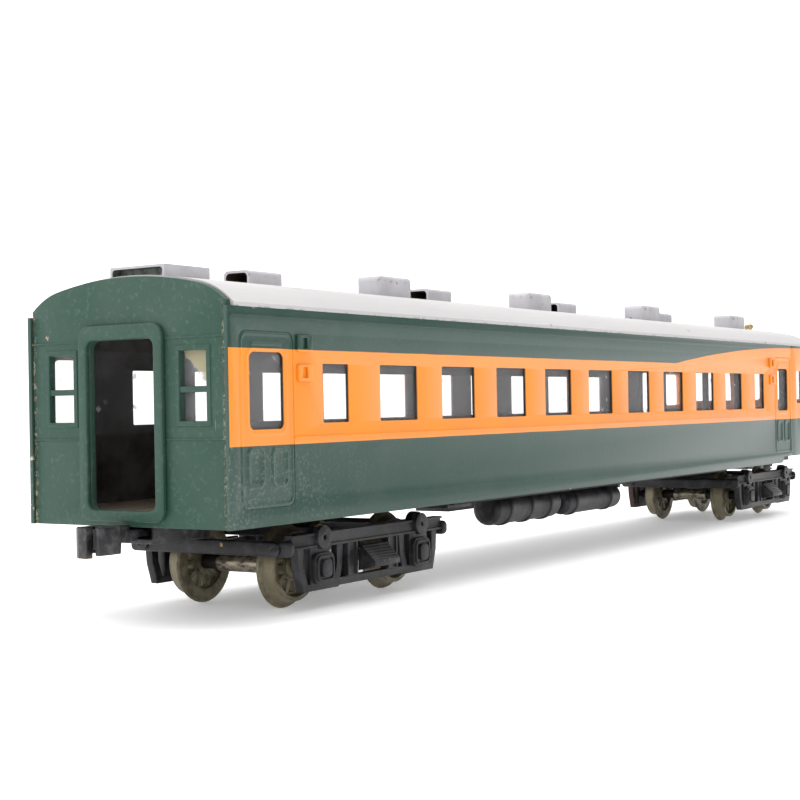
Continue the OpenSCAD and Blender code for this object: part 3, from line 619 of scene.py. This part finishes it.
def make_finishes():
    """One material for each slot of the record."""
    return {
        "side_sheet": side_paint("side_sheet"),
        "end_sheet": end_paint("end_sheet"),
        "gangway_paint": end_paint("gangway_paint"),
        "cab_paint": side_paint("cab_paint"),
        "cab_door_paint": side_paint("cab_door_paint"),
        "door_paint": side_paint("door_paint"),
        "holder_paint": side_paint("holder_paint"),
        "roof_paint": roof_finish("roof_paint"),
        "vent_paint": vent_finish("vent_paint"),
        "whistle_brass": metal_finish("whistle_brass", (0.55, 0.4, 0.18), (0.25, 0.19, 0.1)),
        "floor_wood": floor_finish("floor_wood"),
        "inner_card": card_finish("inner_card"),
        "glazing": glass_finish("glazing"),
        "lamp_rim": metal_finish("lamp_rim", (0.6, 0.6, 0.58), (0.3, 0.3, 0.28)),
        "lamp_lens": lens_finish("lamp_lens", (0.85, 0.85, 0.8), 0.45),
        "tail_lens": lens_finish("tail_lens", (0.35, 0.012, 0.012), 1.0),
        "underfloor_black": black_finish("underfloor_black"),
        "coupler_black": coupler_finish("coupler_black"),
        "screw_brass": metal_finish("screw_brass", (0.45, 0.34, 0.14), (0.16, 0.12, 0.06)),
        "screw_black": black_finish("screw_black", dust=0.7, worn=0.1),
        "bogie_black": bogie_finish("bogie_black"),
        "axle_steel": axle_finish("axle_steel"),
        "wheel_brass": wheel_finish("wheel_brass"),
    }


FINISHES = {}


def finish_of(node):
    """The finish of a node's slot; all finishes are made at the first call."""
    if not FINISHES:
        FINISHES.update(make_finishes())
    return FINISHES[SLOTS[node]]


# --------------------------------------------------------------------- meshes


def dress(node):
    """Gives a CAD node its own finish."""
    piece = frame["nodes"][node]
    piece.data.materials.clear()
    piece.data.materials.append(finish_of(node))
    for polygon in piece.data.polygons:
        polygon.material_index = 0


def stand_for(piece, node):
    """Makes a new piece ride where a CAD node was, with that node's slot and finish."""
    bpy.context.scene.collection.objects.link(piece)
    piece.data.materials.clear()
    piece.data.materials.append(finish_of(node))
    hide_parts(node)
    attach(piece, BODY_OF[node])
    return piece


def smooth_shading(mesh, degrees=35):
    """Shades a mesh smooth, except across edges sharper than that angle."""
    for polygon in mesh.polygons:
        polygon.use_smooth = True
    mesh.set_sharp_from_angle(angle=math.radians(degrees))


def rounded_copy(node, radius, steps=None, degrees=28):
    """The node's own shape with every hard edge rounded, standing for the node."""
    mesh = frame["nodes"][node].data.copy()
    mesh.name = node + "_rounded"
    work = bmesh.new()
    work.from_mesh(mesh)
    bmesh.ops.remove_doubles(work, verts=work.verts, dist=0.002 * MM)
    bmesh.ops.dissolve_limit(work, angle_limit=math.radians(0.6), verts=work.verts, edges=work.edges)
    work.to_mesh(mesh)
    work.free()
    piece = stand_for(bpy.data.objects.new(node + "_shaped", mesh), node)
    bevel = piece.modifiers.new("rounding", "BEVEL")
    bevel.width = radius
    bevel.segments = steps or shape().bevel_steps
    bevel.limit_method = "ANGLE"
    bevel.angle_limit = math.radians(degrees)
    bevel.miter_outer = "MITER_SHARP"
    bevel.use_clamp_overlap = True
    settle(piece)
    smooth_shading(piece.data)
    return piece


def settle(piece):
    """Replaces a piece's mesh by what its modifiers make of it."""
    bpy.context.view_layer.update()
    graph = bpy.context.evaluated_depsgraph_get()
    made = bpy.data.meshes.new_from_object(piece.evaluated_get(graph))
    piece.modifiers.clear()
    old = piece.data
    piece.data = made
    bpy.data.meshes.remove(old)


def rounded_distance(x, z, box, radius):
    """Distance of a point from the outline of a rounded rectangle, below 0 inside it."""
    x0, z0, x1, z1 = box
    dx = abs(x - (x0 + x1) / 2) - (x1 - x0) / 2 + radius
    dz = abs(z - (z0 + z1) / 2) - (z1 - z0) / 2 + radius
    outside = math.hypot(max(dx, 0), max(dz, 0))
    return outside + min(max(dx, dz), 0) - radius


def ridge(distance, width):
    """Height from 0 to 1 of a pressed line at that distance from its middle."""
    share = min(abs(distance) / width, 1)
    return 0.5 + 0.5 * math.cos(math.pi * share)


# ---------------------------------------------------------------------- doors


def door_pane(width):
    """Box of the pane's opening in a door of that width."""
    middle = width / 2
    return middle - PANE_HALF, SIDE_Z0 + PANE_LOW, middle + PANE_HALF, SIDE_Z0 + PANE_HIGH


def door_relief(x, z, width):
    """Relief of a door's face at x from its near edge and height z, all in mm."""
    middle = width / 2
    border = (0.4, SIDE_Z0 + 2.85, width - 0.4, SIDE_Z0 + 25.7)
    line, shoulder = 0.36, 0.6
    height = 0.7 * ridge(rounded_distance(x, z, border, 1.2), 0.32)
    for side in (-1, 1):
        panel_x = middle + side * PANEL_OUT
        panel = (panel_x - PANEL_HALF, SIDE_Z0 + PANEL_LOW, panel_x + PANEL_HALF, SIDE_Z0 + PANEL_HIGH)
        inside = rounded_distance(x, z, panel, 0.9)
        height += ridge(inside, line)
        if inside < -line:
            height -= 0.35 * min((-line - inside) / shoulder, 1)
    height += 0.55 * ridge(rounded_distance(x, z, door_pane(width), PANE_CORNER) - 0.55, 0.4)
    if abs(x - middle) < 3.3:
        height += 0.8 * ridge(z - SIDE_Z0 - 24.35, 0.35)
    return height


def door_piece(node, side):
    """Door plate with its pressed lines, cut round the pane, on the right (-1) or left (1) side."""
    low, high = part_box(node)
    face = -SIDE_LOW.y - 0.2 * MM
    back = min(abs(low.y), abs(high.y))
    width = (high.x - low.x) / MM
    columns = round((high.x - low.x) / shape().grid)
    rows = round((high.z - low.z) / shape().grid)
    outer = (0, low.z / MM, width, high.z / MM)
    pane = door_pane(width)
    margin = 0.06
    work = bmesh.new()
    grid = {}
    for i in range(columns + 1):
        for k in range(rows + 1):
            x = width * i / columns
            z = low.z / MM + (high.z - low.z) / MM * k / rows
            if rounded_distance(x, z, outer, DOOR_CORNER) > margin:
                continue
            if rounded_distance(x, z, pane, PANE_CORNER) < -margin:
                continue
            rise = door_relief(x, z, width) * shape().emboss
            grid[i, k] = work.verts.new((low.x + x * MM, side * (face + rise), z * MM))
    for (i, k), corner in grid.items():
        ring = [corner, grid.get((i + 1, k)), grid.get((i + 1, k + 1)), grid.get((i, k + 1))]
        if None not in ring:
            work.faces.new(ring if side < 0 else ring[::-1])
    bmesh.ops.delete(work, geom=[v for v in work.verts if not v.link_faces], context="VERTS")
    rim = [e for e in work.edges if e.is_boundary]
    made = bmesh.ops.extrude_edge_only(work, edges=rim)
    for vertex in (v for v in made["geom"] if isinstance(v, bmesh.types.BMVert)):
        vertex.co.y = side * back
    bmesh.ops.triangle_fill(work, use_beauty=True, edges=[e for e in work.edges if e.is_boundary])
    bmesh.ops.recalc_face_normals(work, faces=work.faces)
    mesh = bpy.data.meshes.new(node + "_plate")
    work.to_mesh(mesh)
    work.free()
    piece = stand_for(bpy.data.objects.new(node + "_plate", mesh), node)
    smooth_shading(piece.data, 50)
    return piece


# ------------------------------------------------------------------ operators


class COACH_OT_body(bpy.types.Operator):
    """Body sides, gangway end and board holders with rounded edges and worn paint"""

    bl_idname = "coach.body"
    bl_label = "Body"

    def execute(self, context):
        for node in ("side_right", "side_left"):
            rounded_copy(node, shape().sheet_edge)
        rounded_copy("rear_end", shape().sheet_edge)
        rounded_copy("gangway_frame", shape().gangway_edge, shape().soft_steps, 60)
        rounded_copy("board_holders", shape().sheet_edge)
        return {"FINISHED"}


class COACH_OT_doors(bpy.types.Operator):
    """Four passenger doors with their pressed panels"""

    bl_idname = "coach.doors"
    bl_label = "Doors"

    def execute(self, context):
        for node in ("door_rear_right", "door_front_right"):
            door_piece(node, -1)
        for node in ("door_rear_left", "door_front_left"):
            door_piece(node, 1)
        return {"FINISHED"}


class COACH_OT_cab(bpy.types.Operator):
    """Cab shell, its gangway door and the lamps"""

    bl_idname = "coach.cab"
    bl_label = "Cab"

    def execute(self, context):
        for node in ("cab_front", "cab_door", "headlights", "headlight_lenses", "tail_lights"):
            rounded_copy(node, shape().cab_edge)
        return {"FINISHED"}


class COACH_OT_roof(bpy.types.Operator):
    """Roof, its ventilators and the whistle"""

    bl_idname = "coach.roof"
    bl_label = "Roof"

    def execute(self, context):
        dress("roof")
        for node in [n for n in frame["nodes"] if n.startswith("roof_vent")]:
            rounded_copy(node, shape().soft_edge, shape().soft_steps)
        dress("whistle")
        return {"FINISHED"}


class COACH_OT_inside(bpy.types.Operator):
    """Floor, cab bulkhead and the glazing"""

    bl_idname = "coach.inside"
    bl_label = "Inside"

    def execute(self, context):
        dress("floor")
        dress("cab_bulkhead")
        for place in ("right", "left", "rear", "cab"):
            dress("glazing_" + place)
        return {"FINISHED"}


class COACH_OT_underfloor(bpy.types.Operator):
    """Reservoirs, boxes and brake gear under the floor"""

    bl_idname = "coach.underfloor"
    bl_label = "Underfloor"

    def execute(self, context):
        for node in ("main_reservoir", "slim_reservoir", "equipment_box", "brake_gear"):
            rounded_copy(node, shape().casting_edge)
        dress("king_screws")
        return {"FINISHED"}


class COACH_OT_bogies(bpy.types.Operator):
    """Side frames, end beams, bolsters and screws of both bogies"""

    bl_idname = "coach.bogies"
    bl_label = "Bogies"

    def execute(self, context):
        for end in ("rear", "front"):
            for side in ("right", "left"):
                rounded_copy(f"{end}_side_frame_{side}", shape().fine_edge)
            rounded_copy(f"{end}_end_beams", shape().beam_edge)
            rounded_copy(f"{end}_bolster", shape().casting_edge)
            rounded_copy(f"{end}_frame_screws", shape().sheet_edge)
        return {"FINISHED"}


class COACH_OT_wheelsets(bpy.types.Operator):
    """Spoked wheels and axles"""

    bl_idname = "coach.wheelsets"
    bl_label = "Wheelsets"

    def execute(self, context):
        for number in range(1, 5):
            rounded_copy(f"wheels_{number}", shape().fine_edge)
            dress(f"axle_{number}")
        return {"FINISHED"}


class COACH_OT_couplers(bpy.types.Operator):
    """Knuckle couplers and their pockets"""

    bl_idname = "coach.couplers"
    bl_label = "Couplers"

    def execute(self, context):
        for end in ("rear", "front"):
            rounded_copy(f"coupler_{end}", shape().casting_edge)
            rounded_copy(f"knuckle_{end}", shape().soft_edge)
            rounded_copy(f"coupler_pocket_{end}", shape().casting_edge)
        return {"FINISHED"}


def white_surface(name):
    """Matt white table top, lit through a little from below, with the faintest of mottling."""
    colour = (0.93, 0.93, 0.94)
    lit = {"Specular IOR Level": 0.25, "Emission Color": WHITE, "Emission Strength": 0.28}
    f = Finish(name, colour, 0.65, constants=lit)
    f.feed(Base_Color=f.mix(f.noise(60, 2), colour, tint(colour, 0.985)))
    return f.material


class COACH_OT_stage(bpy.types.Operator):
    """White table, softbox lights and the camera"""

    bl_idname = "coach.stage"
    bl_label = "Stage"

    def execute(self, context):
        scene = context.scene
        self.table()
        self.lights(scene)
        self.camera(scene)
        scene.view_settings.view_transform = "Standard"
        return {"FINISHED"}

    def table(self):
        corners = [(x * TABLE_HALF, y * TABLE_HALF, 0) for x, y in ((-1, -1), (1, -1), (1, 1), (-1, 1))]
        mesh = bpy.data.meshes.new("table")
        mesh.from_pydata(corners, [], [(0, 1, 2, 3)])
        table = bpy.data.objects.new("table", mesh)
        bpy.context.scene.collection.objects.link(table)
        table.data.materials.append(white_surface("table_white"))

    def lights(self, scene):
        world = bpy.data.worlds.new("white_room")
        world.use_nodes = True
        self.dim_right_side(world.node_tree)
        scene.world = world
        self.softbox("softbox", (0.02, -0.1, 0.75), (0, 0, 0), 1.0, view().key)
        self.softbox("fill_light", (-0.75, -0.75, 0.5), (-0.05, 0, 0.03), 0.6, view().fill)

    def dim_right_side(self, tree):
        """White all round, falling to a grey room on the right of the coach."""
        v = view()
        nodes = Nodes(tree)
        background = tree.nodes["Background"]
        direction = nodes.node("ShaderNodeTexCoord", output="Generated")
        facing = nodes.node(
            "ShaderNodeVectorMath", {"operation": "DOT_PRODUCT"}, {0: direction, 1: BRIGHT_SIDE}, "Value")
        fall = {0: facing, 1: -0.55, 2: 0.25, 3: v.room, 4: v.sky}
        strength = nodes.node("ShaderNodeMapRange", None, fall)
        nodes.join(strength, background.inputs["Strength"])
        nodes.join(WHITE, background.inputs["Color"])

    def softbox(self, name, place, target, size, power):
        """Square lamp at place that shines at target."""
        lamp = bpy.data.lights.new(name, "AREA")
        lamp.shape = "SQUARE"
        lamp.size = size
        lamp.energy = power
        light = bpy.data.objects.new(name, lamp)
        turn = (Vector(target) - Vector(place)).to_track_quat("-Z", "Y").to_matrix().to_4x4()
        light.matrix_world = Matrix.Translation(place) @ turn
        bpy.context.scene.collection.objects.link(light)

    def camera(self, scene):
        """Camera turned by yaw, pitch and roll."""
        v = view()
        level = math.cos(v.pitch)
        ahead = Vector((level * math.cos(v.yaw), level * math.sin(v.yaw), math.sin(v.pitch)))
        right = ahead.cross(Vector((0, 0, 1))).normalized()
        up = right.cross(ahead)
        turned_right = right * math.cos(v.roll) + up * math.sin(v.roll)
        turned_up = up * math.cos(v.roll) - right * math.sin(v.roll)
        lens = bpy.data.cameras.new("camera")
        lens.lens = v.lens
        lens.sensor_width = SENSOR_WIDTH
        lens.clip_start = NEAREST_SEEN
        camera = bpy.data.objects.new("camera", lens)
        axes = Matrix((turned_right, turned_up, -ahead)).transposed().to_4x4()
        camera.matrix_world = Matrix.Translation(v.camera) @ axes
        scene.collection.objects.link(camera)
        scene.camera = camera


class COACH_PT_panel(bpy.types.Panel):
    """Settings and steps of the coach"""

    bl_idname = "COACH_PT_panel"
    bl_label = "Model coach"
    bl_space_type = "VIEW_3D"
    bl_region_type = "UI"
    bl_category = "Coach"

    def draw(self, context):
        for group in ("coach_paint", "coach_shape", "coach_view"):
            settings = getattr(context.scene, group)
            for key in settings.__annotations__:
                self.layout.prop(settings, key)
        for step in STEPS:
            self.layout.operator(step.bl_idname)


STEPS = (
    COACH_OT_body, COACH_OT_doors, COACH_OT_cab, COACH_OT_roof, COACH_OT_inside,
    COACH_OT_underfloor, COACH_OT_bogies, COACH_OT_wheelsets, COACH_OT_couplers, COACH_OT_stage,
)
GROUPS = {"coach_paint": CoachPaint, "coach_shape": CoachShape, "coach_view": CoachView}


def register():
    for name, group in GROUPS.items():
        bpy.utils.register_class(group)
        setattr(bpy.types.Scene, name, PointerProperty(type=group))
    for made in (*STEPS, COACH_PT_panel):
        bpy.utils.register_class(made)


def unregister():
    for made in (COACH_PT_panel, *reversed(STEPS)):
        bpy.utils.unregister_class(made)
    for name, group in GROUPS.items():
        delattr(bpy.types.Scene, name)
        bpy.utils.unregister_class(group)


def main():
    register()
    bpy.ops.coach.body()
    bpy.ops.coach.doors()
    bpy.ops.coach.cab()
    bpy.ops.coach.roof()
    bpy.ops.coach.inside()
    bpy.ops.coach.underfloor()
    bpy.ops.coach.bogies()
    bpy.ops.coach.wheelsets()
    bpy.ops.coach.couplers()
    bpy.ops.coach.stage()


if __name__ == "__main__":
    main()
